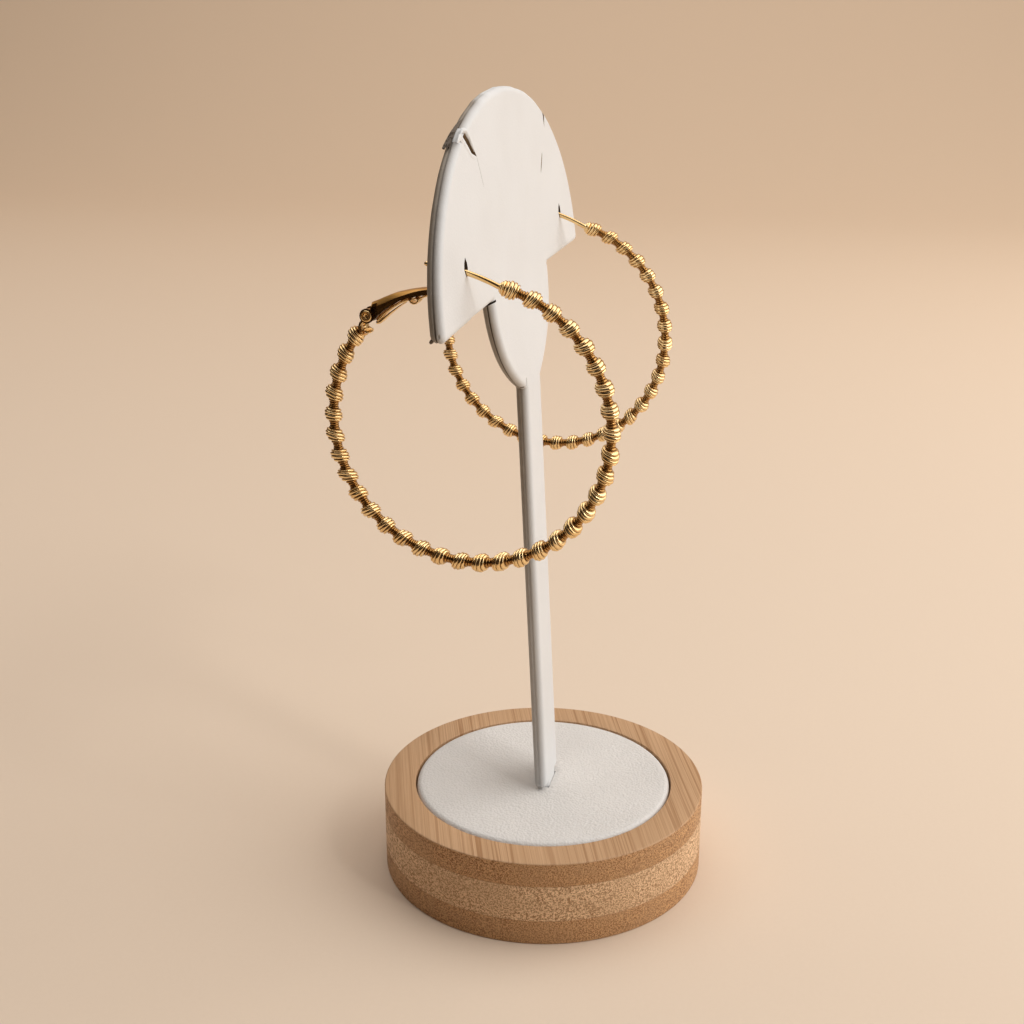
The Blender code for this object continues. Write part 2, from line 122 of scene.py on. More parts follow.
class Value:
    """A socket of a material, with arithmetic."""

    def __init__(self, finish, socket):
        self.finish = finish
        self.socket = socket

    def math(self, operation, *values):
        return self.finish.node("ShaderNodeMath", {"operation": operation}, dict(enumerate(values)))

    def __add__(self, other):
        return self.math("ADD", self, other)

    def __radd__(self, other):
        return self.math("ADD", other, self)

    def __sub__(self, other):
        return self.math("SUBTRACT", self, other)

    def __rsub__(self, other):
        return self.math("SUBTRACT", other, self)

    def __mul__(self, other):
        return self.math("MULTIPLY", self, other)

    def __rmul__(self, other):
        return self.math("MULTIPLY", other, self)

    def __truediv__(self, other):
        return self.math("DIVIDE", self, other)

    def fraction(self):
        return self.math("FRACT", self)

    def floor(self):
        return self.math("FLOOR", self)

    def size(self):
        return self.math("ABSOLUTE", self)

    def sine(self):
        return self.math("SINE", self)

    def ramp(self, low, high):
        """0 below low, 1 above high, and smooth between."""
        settings = {"interpolation_type": "SMOOTHSTEP"}
        sockets = {"Value": self, "From Min": low, "From Max": high}
        return self.finish.node("ShaderNodeMapRange", settings, sockets)


class Finish:
    """A procedural material for one kind of surface."""

    def __init__(self, name):
        self.material = bpy.data.materials.new(name)
        self.material.use_nodes = True
        self.tree = self.material.node_tree
        self.shader = self.tree.nodes["Principled BSDF"]

    def node(self, kind, settings, sockets, output=0):
        """One node: its settings first, then its sockets' values or links."""
        made = self.tree.nodes.new(kind)
        for key, setting in settings.items():
            setattr(made, key, setting)
        for key, value in sockets.items():
            self.feed(made.inputs[key], value)
        return Value(self, made.outputs[output])

    def feed(self, socket, value):
        if isinstance(value, Value):
            self.tree.links.new(value.socket, socket)
        elif socket.type == "RGBA" and len(value) == 3:
            socket.default_value = (*value, 1.0)
        else:
            socket.default_value = value

    def set(self, **sockets):
        for key, value in sockets.items():
            self.feed(self.shader.inputs[key.replace("_", " ")], value)
        return self

    def place(self, scale=(1.0, 1.0, 1.0), turn=0.0):
        """Object coordinates, turned about Z and stretched."""
        at = self.node("ShaderNodeTexCoord", {}, {}, "Object")
        turned = self.node("ShaderNodeMapping", {"vector_type": "POINT"},
                           {"Vector": at, "Rotation": (0.0, 0.0, turn)})
        return self.node("ShaderNodeVectorMath", {"operation": "MULTIPLY"}, {0: turned, 1: scale})

    def axes(self, place):
        split = self.node("ShaderNodeSeparateXYZ", {}, {"Vector": place})
        outputs = split.socket.node.outputs
        return [Value(self, outputs[index]) for index in range(3)]

    def noise(self, place, scale, detail=3.0, roughness=0.5, distortion=0.0):
        sockets = {"Vector": place, "Scale": scale, "Detail": detail,
                   "Roughness": roughness, "Distortion": distortion}
        return self.node("ShaderNodeTexNoise", {}, sockets, "Fac")

    def cells(self, place, scale, feature="F1"):
        sockets = {"Vector": place, "Scale": scale}
        if feature == "SMOOTH_F1":
            sockets["Smoothness"] = 0.3
        return self.node("ShaderNodeTexVoronoi", {"feature": feature}, sockets, "Distance")

    def mark(self, name):
        """A number kept on each of the mesh's points."""
        return self.node("ShaderNodeAttribute", {"attribute_name": name}, {}, "Fac")

    def mix(self, factor, first, second):
        return self.node("ShaderNodeMix", {"data_type": "RGBA"}, {0: factor, 6: first, 7: second}, 2)

    def bump(self, height, strength, distance):
        sockets = {"Height": height, "Strength": strength, "Distance": distance}
        return self.node("ShaderNodeBump", {}, sockets, "Normal")


def leatherette(name, colour, shade, grain, relief, roughness, rim_shade_and_strip_tone=None):
    """Coated paper-leather with a fine pebble, slightly uneven in tone; given a rim tone, its turned edge
    gets painted shade and a brown strip behind the seam.
    """
    made = Finish(name)
    place = made.place()
    pebbles = 1.0 - made.cells(place, 1.0 / grain, "SMOOTH_F1")
    pores = made.noise(place, 3.0 / grain, 2.0)
    swell = made.noise(place, 0.35 / grain, 2.0)
    clouds = made.noise(place, 45.0, 4.0)
    tone = made.mix(clouds.ramp(0.3, 0.75), colour, shade)
    tone = made.mix(pebbles.ramp(0.95, 0.45) * relief * 0.5, tone, shade)
    if rim_shade_and_strip_tone:
        seam = made.mark("seam")
        turned = seam.ramp(0.99, 0.9) * made.mark("rim_shade_and_strip")
        stain = made.noise(place, 420.0, 3.0).ramp(0.2, 0.8) * 0.35 + 0.65
        # Painted shade: the rim darkens as it turns away from the front face
        tone = made.mix(seam.ramp(-1.1, 0.25) * turned * 0.85, tone, rim_shade_and_strip_tone)
        # The brown strip behind the seam, weighted by the same rim mask as the painted shade
        tone = made.mix(seam.ramp(0.1, 0.2) * turned * stain, tone, rim_shade_and_strip_tone)
        line = (1.0 - (seam - 0.1).size().ramp(0.05, 0.14)) * made.mark("tuck")
        tone = made.mix(line, tone, (0.05, 0.035, 0.02))
    height = pebbles * 0.7 + pores * 0.35 + swell * 0.5
    normal = made.bump(height, relief, 0.16 * MM)
    return made.set(Base_Color=tone, Roughness=roughness + pores * 0.12, Normal=normal).material


def bamboo(name, ground, streak, line, end_ground, end_dot, coarse, strip, seed):
    """Bamboo with its fibres along the grain: fine lines on top and worm-like dots on the ends."""
    made = Finish(name)
    side = made.axes(made.place((1.0, 1.0, 1.0), -GRAIN_TURN))[1]
    wander = made.noise(made.place(), 35.0, 2.0) * (1.2 * MM)
    strips = ((side + wander + seed) / strip).floor()
    tint = ((strips * 12.9898 + seed * 900.0).sine() * 43758.5).fraction()
    fine = made.noise(made.place((0.008, 1.0, 0.5), -GRAIN_TURN), 3000.0, 3.0, 0.65)
    broad = made.noise(made.place((0.03, 1.0, 1.0), -GRAIN_TURN), 300.0, 2.0, 0.6)
    level = made.noise(made.place((0.006, 1.0, 0.5), -GRAIN_TURN), 780.0, 1.0)
    veins = 1.0 - (level - 0.5).size().ramp(0.015, 0.055)
    strength = made.noise(made.place((0.01, 1.0, 0.5), -GRAIN_TURN), 420.0, 1.0).ramp(0.35, 0.65)
    tone = made.mix(fine.ramp(0.3, 0.72), streak, ground)
    tone = made.mix(broad.ramp(0.35, 0.75) * 0.2, tone, streak)
    tone = made.mix(veins * (strength * 0.6 + 0.3), tone, line)
    tone = made.mix(tint * 0.2, tone, streak)
    ends = made.place((0.06, 1.0, 1.0), -GRAIN_TURN)
    worms = made.noise(ends, coarse, 1.5, 0.55, 0.3)
    dots = 1.0 - made.cells(ends, coarse * 1.1).ramp(0.2, 0.5)
    fibre = (worms - dots * 0.08).ramp(0.32, 0.62)
    patch = made.noise(made.place((1.0, 1.0, 2.2)), 95.0, 3.0).ramp(0.3, 0.7)
    end = made.mix(fibre, end_dot, end_ground)
    end = made.mix(patch * 0.3 + tint * 0.22, end, streak)
    wall = made.mark("wall")
    tone = made.mix(wall, tone, end)
    height = made.mix(wall, fine * 0.5 - veins * 0.4, fibre * 0.9)
    normal = made.bump(height, 0.22, 0.09 * MM)
    return made.set(Base_Color=tone, Roughness=0.62 - fibre * 0.1, Normal=normal).material


def gold(name, colour, roughness, scratch, groove=False):
    """Yellow gold plate with faint polishing marks; it is duller down in its grooves, and painted dark
    brown shade lies there and on the necks.
    """
    made = Finish(name)
    place = made.place()
    cloud = made.noise(place, 160.0, 3.0)
    marks = made.noise(made.place((1.0, 0.25, 1.0)), 5200.0, 3.0, 0.6)
    deep = tuple(part * share for part, share in zip(colour, (0.9, 0.82, 0.7)))
    tone = made.mix(cloud.ramp(0.35, 0.75), colour, deep)
    normal = made.bump(marks, scratch, 0.02 * MM)
    rough = roughness + marks.ramp(0.4, 0.7) * 0.08
    if groove:
        down = made.mark("groove")
        neck = made.mark("neck")
        # Painted shade: the necks between beads and the grooves between rings are darkened
        tone = made.mix(neck * 0.85, tone, (0.38, 0.18, 0.04))
        tone = made.mix(down.ramp(0.2, 0.9) * 0.9, tone, (0.17, 0.075, 0.015))
        rough = rough + down * 0.2
    return made.set(Base_Color=tone, Metallic=1.0, Roughness=rough, Normal=normal).material


ply_outer = bamboo("bamboo_outer_ply", ground=(0.61, 0.38, 0.215), streak=(0.475, 0.28, 0.14),
                   line=(0.35, 0.175, 0.07), end_ground=(0.69, 0.40, 0.185), end_dot=(0.25, 0.10, 0.028),
                   coarse=3000.0, strip=17.0 * MM, seed=0.0043)
ply_middle = bamboo("bamboo_middle_ply", ground=(0.70, 0.47, 0.29), streak=(0.56, 0.35, 0.19),
                    line=(0.42, 0.23, 0.1), end_ground=(0.93, 0.655, 0.40), end_dot=(0.34, 0.165, 0.065),
                    coarse=2700.0, strip=14.0 * MM, seed=0.00217)
pad_cover = leatherette("pad_leatherette", (0.765, 0.745, 0.72), (0.69, 0.67, 0.645), 0.62 * MM, 1.0, 0.5)
board_cover = leatherette("board_leatherette", (0.725, 0.735, 0.742), (0.695, 0.70, 0.702),
                          0.5 * MM, 0.2, 0.52, (0.27, 0.22, 0.165))
board_core = leatherette("board_core", (0.34, 0.25, 0.155), (0.20, 0.135, 0.075), 0.5 * MM, 0.5, 0.85)
# Near-black painted shadow, inside the slits and side cuts and under the torn wrap's frayed end
painted_shadow = leatherette("painted_shadow", (0.085, 0.06, 0.04), (0.05, 0.035, 0.025), 0.5 * MM, 0.4, 0.9)
torn_wrap = leatherette("torn_wrap", (0.24, 0.195, 0.15), (0.08, 0.06, 0.045), 0.5 * MM, 0.7, 0.8)
gold_beads = gold("gold_beads", (0.96, 0.72, 0.385), 0.16, 0.12, groove=True)
gold_leaf = gold("gold_leaf", (0.93, 0.67, 0.33), 0.2, 0.1)
gold_polished = gold("gold_polished", (0.93, 0.67, 0.33), 0.12, 0.05)
# The lever's gold: shaded copies of the bead gold, a painted shade that is deeper on its sides than on its
# top
gold_burnished_shaded = gold("gold_burnished_shaded", (0.40, 0.225, 0.075), 0.16, 0.04)
gold_lever_top = gold("gold_lever_top", (0.56, 0.30, 0.085), 0.34, 0.04)


# The mesh helpers

def settle(bm, name, finish, body=STAND, replaced=(), crease=35.0, turn=None):
    """Write a finished bmesh to an object that rides on a body."""
    bmesh.ops.remove_doubles(bm, verts=bm.verts, dist=1e-7)
    bmesh.ops.recalc_face_normals(bm, faces=bm.faces)
    if turn is not None:
        bmesh.ops.transform(bm, matrix=turn, verts=bm.verts)
    mesh = bpy.data.meshes.new(name)
    bm.to_mesh(mesh)
    bm.free()
    made = bpy.data.objects.new(name, mesh)
    bpy.context.scene.collection.objects.link(made)
    for one in finish if isinstance(finish, (list, tuple)) else [finish]:
        mesh.materials.append(one)
    mesh.shade_smooth()
    mesh.set_sharp_from_angle(angle=math.radians(crease))
    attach(made, body)
    if replaced:
        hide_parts(*replaced)
    return made


def lathe(profile, sides, axis=(0.0, 0.0, 1.0)):
    """Spin a profile of (radius, height) points a full turn about Z, or about X."""
    bm = bmesh.new()
    across = axis == (1.0, 0.0, 0.0)
    corners = [bm.verts.new((z, r, 0.0) if across else (r, 0.0, z)) for r, z in profile]
    edges = [bm.edges.new(pair) for pair in zip(corners, corners[1:])]
    bmesh.ops.spin(bm, geom=corners + edges, cent=(0, 0, 0), axis=axis, angle=math.tau,
                   steps=sides, use_merge=True)
    bmesh.ops.remove_doubles(bm, verts=bm.verts, dist=1e-8)
    bmesh.ops.recalc_face_normals(bm, faces=bm.faces)
    return bm


def plate(outline, thickness, edge_round=0.0, segments=4):
    """A flat piece in the XZ plane with its thickness along Y and its edges rounded."""
    bm = bmesh.new()
    face = bm.faces.new([bm.verts.new((x, -thickness / 2, z)) for x, z in outline])
    rim = list(face.edges)
    sheet = bmesh.ops.extrude_face_region(bm, geom=[face], use_keep_orig=True)["geom"]
    far_side = [item for item in sheet if isinstance(item, bmesh.types.BMVert)]
    bmesh.ops.translate(bm, verts=far_side, vec=(0.0, thickness, 0.0))
    rim += [item for item in sheet if isinstance(item, bmesh.types.BMEdge)]
    if edge_round:
        bmesh.ops.bevel(bm, geom=rim, offset=edge_round, offset_type="OFFSET", affect="EDGES",
                        segments=segments, profile=0.5, material=-1)
    bmesh.ops.recalc_face_normals(bm, faces=bm.faces)
    return bm


def box_cutter(size, at, turn=Matrix.Identity(4)):
    """A box of a size, turned and then put in its place."""
    bm = bmesh.new()
    bmesh.ops.create_cube(bm, size=1.0)
    bmesh.ops.scale(bm, vec=size, verts=bm.verts)
    bmesh.ops.transform(bm, matrix=Matrix.Translation(at) @ turn, verts=bm.verts)
    return bm


def carve(bm, cutters):
    """Cut each bmesh in a list out of the first one, exactly, keeping the cutters' material places."""
    scratch = []
    for index, item in enumerate([bm] + list(cutters)):
        mesh = bpy.data.meshes.new(f"carve_{index}")
        item.to_mesh(mesh)
        for place in range(3):
            mesh.materials.append(None)
        item.free()
        made = bpy.data.objects.new(f"carve_{index}", mesh)
        bpy.context.scene.collection.objects.link(made)
        scratch.append(made)
    body = scratch[0]
    for cutter in scratch[1:]:
        step = body.modifiers.new("cut", "BOOLEAN")
        step.operation = "DIFFERENCE"
        step.solver = "EXACT"
        step.material_mode = "INDEX"
        step.object = cutter
    graph = bpy.context.evaluated_depsgraph_get()
    result = bpy.data.meshes.new_from_object(body.evaluated_get(graph))
    carved = bmesh.new()
    carved.from_mesh(result)
    for made in scratch:
        mesh = made.data
        bpy.data.objects.remove(made)
        bpy.data.meshes.remove(mesh)
    bpy.data.meshes.remove(result)
    return carved


def slice_up(bm, axis, start, stop, pitch):
    """Split a mesh by evenly spaced planes across one axis."""
    normal = [0.0, 0.0, 0.0]
    normal[axis] = 1.0
    for step in range(int((stop - start) / pitch) + 1):
        at = [0.0, 0.0, 0.0]
        at[axis] = start + step * pitch
        bmesh.ops.bisect_plane(bm, geom=bm.verts[:] + bm.edges[:] + bm.faces[:], dist=1e-7,
                               plane_co=at, plane_no=normal)


def fade(distance, width):
    """1 at no distance, falling smoothly to nothing a few widths away."""
    return math.exp(-(distance / width) ** 2)


# The base

def arc(centre, radius, start, stop, steps):
    """Points of an arc in a profile, angles in degrees."""
    turns = [math.radians(start + (stop - start) * step / steps) for step in range(steps + 1)]
    return [(centre[0] + radius * math.cos(turn), centre[1] + radius * math.sin(turn)) for turn in turns]


def ply(name, low, high, low_round, high_round, finish, node, recess=None):
    """One disc of the base, its rims eased; the top one has a recess for the pad."""
    r = BASE_RADIUS
    profile = [(0.0, low)] + arc((r - low_round, low + low_round), low_round, -90, 0, 4)
    profile += arc((r - high_round, high - high_round), high_round, 0, 90, 5)
    if recess:
        ease = 0.15 * MM
        profile += arc((recess + ease, high - ease), ease, 90, 180, 3)
        profile += [(recess, PAD_FLOOR), (0.0, PAD_FLOOR)]
    else:
        profile += [(0.0, high)]
    bm = lathe(profile, 192)
    wall = bm.verts.layers.float.new("wall")
    for vert in bm.verts:
        wide = math.hypot(vert.co.x, vert.co.y)
        vert[wall] = min(max(1.0 - (r - wide) / (0.8 * min(low_round, high_round)), 0.0), 1.0)
    settle(bm, name, finish, replaced=[node])


def build_base():
    """The three plies, close together but for a fine glue line."""
    soft = 0.35 * MM
    tight = 0.06 * MM
    second = BOTTOM_PLY + 0.7 * GLUE_LINE
    third = BOTTOM_PLY + GLUE_LINE + MIDDLE_PLY + 0.7 * GLUE_LINE
    ply("bottom_ply", 0.0, second - PLY_GAP, soft, tight, ply_outer, "base_bottom_ply")
    ply("middle_ply", second, third - PLY_GAP, tight, tight, ply_middle, "base_middle_ply")
    ply("top_ply", third, BASE_HEIGHT, tight, soft, ply_outer, "base_top_ply", RECESS_RADIUS)


def stem_socket(gap):
    """The room the stem's tongue takes in the pad."""
    socket = box_cutter((2 * (TONGUE_HALF + gap), THICKNESS + 2 * gap, 2 * TONGUE),
                        (0.0, 0.0, 0.0))
    for vert in socket.verts:
        vert.co.y += lean(vert.co.z)
        vert.co.z += BASE_HEIGHT
    return socket


def build_pad():
    """The leatherette disc, softly crowned, drawn down a little round the stem."""
    edge = 1.3 * MM
    top = BASE_HEIGHT + PAD_CROWN
    profile = [(0.0, PAD_FLOOR + GLUE_LINE), (PAD_RADIUS, PAD_FLOOR + GLUE_LINE)]
    profile += arc((PAD_RADIUS - edge, top - edge - 0.1 * MM), edge, 0, 84, 10)
    rings = [(PAD_RADIUS - edge) * (1 - step / 30) for step in range(1, 31)]
    profile += [(radius, top - 0.1 * MM * (radius / PAD_RADIUS) ** 2) for radius in rings]
    pad = carve(lathe(profile, 144), [stem_socket(0.12 * MM)])
    slice_up(pad, 0, -9 * MM, 9 * MM, 0.75 * MM)
    slice_up(pad, 1, -7 * MM, 6 * MM, 0.65 * MM)
    for vert in pad.verts:
        if vert.co.z < BASE_HEIGHT - 0.5 * MM:
            continue
        away_x = max(abs(vert.co.x) - TONGUE_HALF, 0.0)
        away_y = max(abs(vert.co.y + STEM_FORWARD) - THICKNESS / 2, 0.0)
        vert.co.z -= 0.34 * MM * fade(math.hypot(away_x, away_y), 1.0 * MM)
    made = settle(pad, "pad", pad_cover, replaced=["base_pad"], crease=50)


# The board

def curve_points(start, pull_start, pull_end, end, steps):
    """Points of a curve pulled at both ends."""
    points = []
    for step in range(steps + 1):
        t = step / steps
        weights = ((1 - t) ** 3, 3 * t * (1 - t) ** 2, 3 * t * t * (1 - t), t ** 3)
        corners = (start, pull_start, pull_end, end)
        points.append(tuple(sum(w * c[i] for w, c in zip(weights, corners)) for i in (0, 1)))
    return points


def arch(turn):
    """A point of the board's arched edge, from the wing's tip at 0 to the top."""
    power = 2 / PANEL_ROUNDNESS
    return PANEL_HALF * math.cos(turn) ** power, WING_LEVEL + PANEL_RISE * math.sin(turn) ** power


def arch_at(across):
    """Height of the arched edge over the base at a distance from the middle."""
    share = 1 - (across / PANEL_HALF) ** PANEL_ROUNDNESS
    return WING_LEVEL + PANEL_RISE * share ** (1 / PANEL_ROUNDNESS)


def board_outline():
    """The cut shape: rounded foot, stem, rounded shoulders, wings a little out of level and arch."""
    step_out = SHOULDER_HALF - STEM_HALF
    first = math.asin((2.2 * WING_CORNER / PANEL_RISE) ** (PANEL_ROUNDNESS / 2))
    halves = []
    for side in (1, -1):
        half = [(TONGUE_HALF, -TONGUE), (TONGUE_HALF, STEM_FOOT_LEVEL)]
        half += arc((STEM_HALF - STEM_FOOT_ROUND, STEM_FOOT_LEVEL + STEM_FOOT_ROUND), STEM_FOOT_ROUND,
                    -90, 0, 8)
        half += curve_points((STEM_HALF, STEM_LENGTH),
                             (STEM_HALF + 0.2 * step_out, STEM_LENGTH + 0.085 * SHOULDER_RISE),
                             (STEM_HALF + step_out, STEM_LENGTH + 0.36 * SHOULDER_RISE),
                             (SHOULDER_HALF, WING_LEVEL), 28)
        corner = (PANEL_HALF - WING_CORNER, WING_LEVEL + WING_CORNER + WING_TILT[side])
        half += arc(corner, WING_CORNER, -90, 0, 6)
        half += [arch(first + (math.pi / 2 - first) * step / 60) for step in range(61)]
        halves.append([(side * x, z) for x, z in half])
    return halves[0] + list(reversed(halves[1][:-1]))


def wrap_ripple(x, z):
    """The wrapped edge isn't quite even: a small in and out along the arch."""
    if z < WING_LEVEL + 4 * MM:
        return 0.0
    return 0.22 * MM * noise.noise(Vector((x * 190.0, z * 190.0, 4.0)))


def notch_leaf(wide, long):
    """A leaf-shaped opening that points inwards, its long axis along Z."""
    half = [(0.0, -1.0), (0.35, -0.78), (0.78, -0.5), (1.0, -0.22), (0.85, 0.0), (0.5, 0.14), (0.42, 0.4)]
    ring = half + [(-x, z) for x, z in reversed(half[1:])]
    return [(x * wide, z * long) for x, z in ring]


def crease_cutter(at, heading, long, wide, deep):
    """A slender diamond, pointed at both ends, that leaves a crease in the wrap."""
    bm = bmesh.new()
    bmesh.ops.create_uvsphere(bm, u_segments=4, v_segments=6, radius=1.0)
    bmesh.ops.scale(bm, vec=(wide, deep, long / 2), verts=bm.verts)
    turn = Vector(heading).to_track_quat("Z", "Y").to_matrix().to_4x4()
    bmesh.ops.transform(bm, matrix=Matrix.Translation(at) @ turn, verts=bm.verts)
    return bm


def flat_cut(points):
    """A cutter right through the board from points in its own plane."""
    return plate([(x * MM, z * MM) for x, z in points], 4 * THICKNESS)


def lined(bm, place):
    """Give a cutter the place of the material that its cut shows."""
    for face in bm.faces:
        face.material_index = place
    return bm


def board_openings():
    """Everything cut through the board: slits, side cuts and chain notches; the slits and side cuts are
    lined with painted shadow.
    """
    cutters = []
    for side in (-1, 1):
        slit = flat_cut([(0.0, 2.2), (-1.0, 1.1), (-1.35, -0.1), (-0.8, -1.0), (0.0, -1.6),
                         (0.8, -1.0), (1.35, -0.1), (1.0, 1.1)])
        bmesh.ops.translate(slit, vec=(side * SLIT_AT, 0.0, SLIT_LEVEL + 0.7 * MM), verts=slit.verts)
        cut = box_cutter((20 * MM, 6 * THICKNESS, SIDE_CUT_WIDTH),
                         (side * (SHOULDER_HALF - SIDE_CUT_DEPTH + 10 * MM), 0.0, WING_LEVEL - 0.6 * MM),
                         Matrix.Rotation(SIDE_CUT_TURN, 4, "X"))
        # Slits and side cuts are lined with painted shadow
        cutters += [lined(slit, GAP_SHADOW_PLACE), lined(cut, GAP_SHADOW_PLACE)]
    leaf = plate(notch_leaf(1.4 * MM, 9.3 * MM), 4 * THICKNESS)
    tilt = Matrix.Rotation(-(math.pi / 2 - NOTCH_SLOPE), 4, "Y")
    at = (-NOTCH_AT + 0.7 * MM, 0.0, arch_at(NOTCH_AT) - 0.5 * MM)
    bmesh.ops.transform(leaf, matrix=Matrix.Translation(at) @ tilt, verts=leaf.verts)
    wedge = flat_cut([(36.8, 157.1), (35.4, 163.5), (38.6, 163.5)])
    return cutters + [lined(leaf, CORE_PLACE), lined(wedge, CORE_PLACE)]


def board_creases():
    """Short creases in the wrap below the notches and where the shoulder meets the stem; two of them get
    painted shade in their grooves.
    """
    face = -THICKNESS / 2
    root = STEM_LENGTH + 0.75 * MM
    shaded_creases = [crease_cutter((30.2 * MM, face, 149.4 * MM), (-2.8, 0.0, -3.8), 5.6 * MM, 0.45 * MM, 0.36 * MM),
            crease_cutter((-STEM_HALF - 1.9 * MM, -0.5 * MM, root), (0.5, -1.0, 0.1),
                          3.8 * MM, 0.8 * MM, 0.3 * MM)]
    pale = [crease_cutter((-28.4 * MM, face, 152.6 * MM), (3.1, 0.0, -5.6), 7.4 * MM, 0.4 * MM, 0.12 * MM),
            crease_cutter((-STEM_HALF - 0.4 * MM, face + 0.1 * MM, root + 0.8 * MM), (0.5, -0.1, 2.0),
                          2.8 * MM, 0.5 * MM, 0.45 * MM),
            crease_cutter((-PANEL_HALF + 0.02 * MM, -0.45 * MM, WING_LEVEL + 0.3 * MM), (0.1, -0.1, 1.0),
                          1.3 * MM, 0.3 * MM, 0.4 * MM)]
    # The first two are lined with the brown core material as painted shade in their grooves
    return [lined(cutter, CORE_PLACE) for cutter in shaded_creases] + pale


def rim_shade_and_strip_strength(height):
    """How strong the painted shade and the brown strip on the turned edge are at a height: soft at the
    foot, strongest on the arch.
    """
    marks = [(-12, 0.15), (40, 0.3), (95, 0.8), (WING_LEVEL / MM, 0.68), (150, 1.0), (170, 1.0)]
    for (low, start), (high, end) in zip(marks, marks[1:]):
        if height / MM <= high:
            return start + (end - start) * (height / MM - low) / (high - low)
    return marks[-1][1]


def build_board():
    """The wrapped board: half-round edges with a seam, slits, side cuts and chain notches."""
    outline = [(x, z + wrap_ripple(x, z)) for x, z in board_outline()]
    bm = plate(outline, THICKNESS, EDGE_ROUND, 6)
    bm.normal_update()
    for vert in bm.verts:
        if 0.1 * MM < vert.co.y < 0.3 * MM:
            vert.co -= vert.normal * SEAM_DEPTH
    bm = carve(bm, board_openings() + board_creases())
    bmesh.ops.triangulate(bm, faces=bm.faces[:])
    slice_up(bm, 2, -4 * MM, 168 * MM, 1.5 * MM)
    slice_up(bm, 0, -66 * MM, 66 * MM, 1.5 * MM)
    bm.normal_update()
    seam = bm.verts.layers.float.new("seam")
    rim_shade_and_strip = bm.verts.layers.float.new("rim_shade_and_strip")
    tuck = bm.verts.layers.float.new("tuck")
    for vert in bm.verts:
        x, y, z = vert.co
        flat = math.hypot(vert.normal.x, vert.normal.z)
        vert[seam] = y / (THICKNESS / 2)
        facing = min(max((abs(vert.normal.x) / max(flat, 0.05) - 0.1) / 0.17, 0.0), 1.0)
        # Weight of the rim's painted shade and brown strip: how far the rim faces sideways, times a
        # strength by height
        vert[rim_shade_and_strip] = facing * rim_shade_and_strip_strength(z)
        shoulder = fade(max(abs(z - STEM_LENGTH - 0.6 * SHOULDER_RISE) - 0.3 * SHOULDER_RISE, 0.0), 5 * MM)
        arch_line = 0.35 * fade(max(WING_LEVEL - z, 0.0), 6 * MM)
        vert[tuck] = facing * min(0.1 + arch_line + 0.75 * shoulder, 1.0)
        vert.co.y += lean(z)
        vert.co.z += BASE_HEIGHT
    settle(bm, "board", [board_cover, board_core, painted_shadow],
           replaced=["display_board"], crease=50)


def on_board(x, height, y=0.0):
    """A point in the board's leaning plane: across, up from the base's top, and through."""
    return Vector((x, lean(height) + y, BASE_HEIGHT + height))


def ribbon(columns, rows, thickness, shape):
    """A thin strip laid out by shape(along, across, through), each share from 0 to 1."""
    bm = bmesh.new()
    bmesh.ops.create_grid(bm, x_segments=columns, y_segments=rows, size=0.5)
    bmesh.ops.solidify(bm, geom=bm.faces[:], thickness=0.05)
    for vert in bm.verts:
        through = thickness if vert.co.z > 0.01 or vert.co.z < -0.01 else 0.0
        vert.co = shape(vert.co.x + 0.5, vert.co.y + 0.5, through)
    return bm


def ridge(route, wide, tall):
    """A low fold in the wrap along a route on the board's face, dying away at both ends."""
    def fold(along, across, through):
        place = along * (len(route) - 1)
        index = min(int(place), len(route) - 2)
        start, end = Vector(route[index]), Vector(route[index + 1])
        spot = start.lerp(end, place - index)
        run = (end - start).normalized()
        body = math.sin(math.pi * min(max(along, 0.02), 0.98)) ** 0.6
        offset = (2 * across - 1) * wide * body
        rise = tall * body * math.cos(math.pi * (across - 0.5)) - 0.1
        x, height = spot.x - run.y * offset, spot.y + run.x * offset
        return on_board(x * MM, height * MM, -THICKNESS / 2 - rise * MM + through)
    return ribbon(40, 8, 0.1 * MM, fold)


